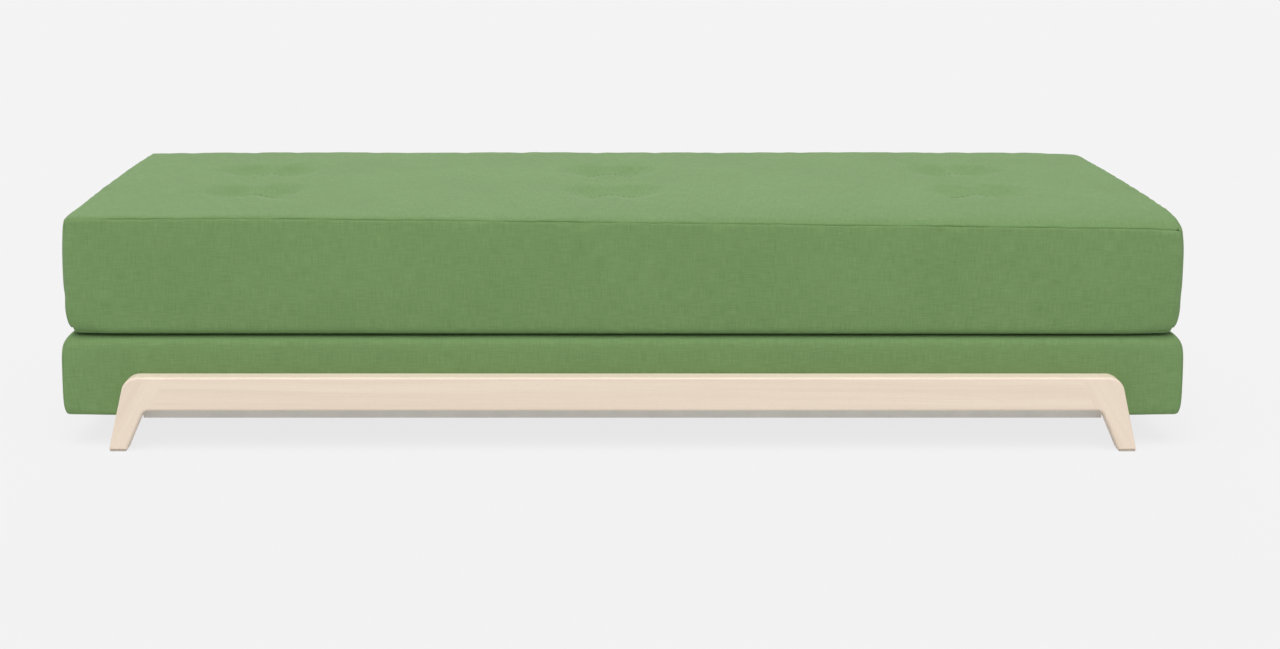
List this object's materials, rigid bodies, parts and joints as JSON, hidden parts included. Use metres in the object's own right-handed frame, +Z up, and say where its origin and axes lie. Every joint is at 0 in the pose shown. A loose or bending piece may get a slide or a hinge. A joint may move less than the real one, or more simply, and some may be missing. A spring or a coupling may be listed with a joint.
{
  "type": "sofa bed",
  "caption": "Low backless sofa bed: a tufted green mattress hinged on an upholstered base with pale wooden arch legs; it folds over to the rear to make a double bed.",
  "frame": {"origin": "on the floor, under the middle of the base", "axes": "+X along the length to the right as seen from the front, -Y to the front, +Z up"},
  "size_m": [2, 0.86, 0.415],
  "materials": {
    "pale_wood": "matte",
    "grey_felt": "matte",
    "grey_painted_steel": "satin",
    "zinc_steel": "satin",
    "insert_brass": "satin",
    "frame_softwood": "matte",
    "slat_beech": "satin",
    "foam": "matte",
    "soft_filling": "matte",
    "green_fabric": "matte",
    "grey_lining": "matte",
    "tie_cord": "matte",
    "disc_felt": "matte",
    "zip_webbing": "matte",
    "zip_plastic": "satin",
    "zip_metal": "satin"
  },
  "bodies": {
    "root": {"front_rail": "pale_wood", "front_leg_left": "pale_wood", "front_leg_right": "pale_wood", "rear_rail": "pale_wood", "rear_leg_left": "pale_wood", "rear_leg_right": "pale_wood", "rail_dowels": "pale_wood", "foot_glides": "grey_felt", "front_support_angle": "grey_painted_steel", "rear_support_angle": "grey_painted_steel", "angle_screws": "zinc_steel", "arch_bolts": "zinc_steel", "arch_washers": "zinc_steel", "arch_inserts": "insert_brass", "front_board": "frame_softwood", "rear_board": "frame_softwood", "left_end_board": "frame_softwood", "right_end_board": "frame_softwood", "left_cross_rail": "frame_softwood", "right_cross_rail": "frame_softwood", "corner_blocks": "frame_softwood", "slat_ledges": "frame_softwood", "centre_beam": "frame_softwood", "base_slats": "slat_beech", "base_foam_pad": "foam", "base_side_foam": "foam", "base_cover": "green_fabric", "dust_cover": "grey_lining", "lower_hinge_leaves": "zinc_steel", "lower_hinge_screws": "zinc_steel", "hinge_pins": "zinc_steel"},
    "mattress": {"mattress_top_panel": "green_fabric", "mattress_boxing": "green_fabric", "mattress_bottom_panel": "green_fabric", "mattress_core": "foam", "upper_comfort_layer": "soft_filling", "lower_comfort_layer": "soft_filling", "upper_wadding": "soft_filling", "tuft_ties": "tie_cord", "tuft_discs": "disc_felt", "hinge_batten": "frame_softwood", "upper_hinge_leaves": "zinc_steel", "upper_hinge_screws": "zinc_steel", "zip_tape": "zip_webbing", "zip_teeth": "zip_plastic", "zip_stops": "zip_metal"},
    "zip_slider": {"zip_slider": "zip_metal"}
  },
  "joints": [
    {"name": "mattress_fold", "type": "hinge", "parent": "root", "child": "mattress", "pos_m": [0, 0.42, 0.2105], "axis": [-1, 0, 0], "range_deg": [0, 180]},
    {"name": "zip_slide", "type": "slide", "parent": "mattress", "child": "zip_slider", "axis": [-1, 0, 0], "range_m": [0, 1.443]}
  ]
}
